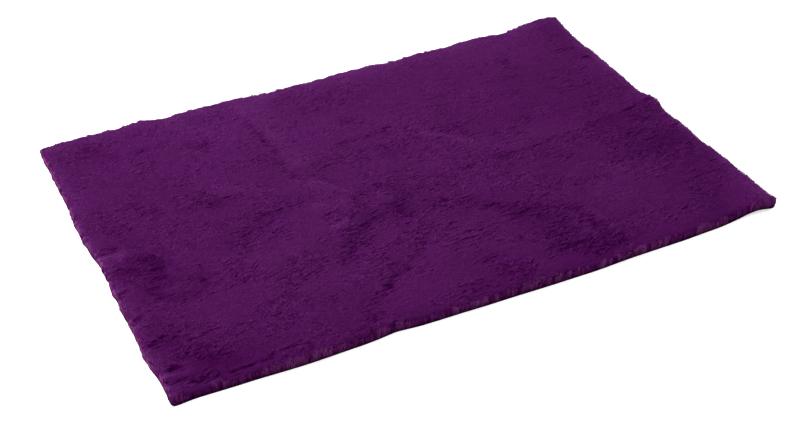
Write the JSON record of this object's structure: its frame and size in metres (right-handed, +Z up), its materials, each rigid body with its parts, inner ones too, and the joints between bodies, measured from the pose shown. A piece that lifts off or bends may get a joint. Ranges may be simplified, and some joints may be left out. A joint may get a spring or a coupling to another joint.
{
  "type": "fleece pet mat",
  "caption": "Flat rectangular pet mat of dense purple fleece, cut on all sides, with an uneven outline and a few soft folds, lying on the floor.",
  "frame": {"origin": "the centre of the mat's box, on the floor", "axes": "+X along the long side, +Y from the front edge to the back edge, +Z up out of the pile"},
  "size_m": [0.7554, 0.5074, 0.0213],
  "materials": {
    "fleece": "deep purple polyester pile, dense and matt, with a faint sheen on the tips"
  },
  "bodies": {
    "root": {"fleece_mat": "fleece"}
  },
  "joints": []
}
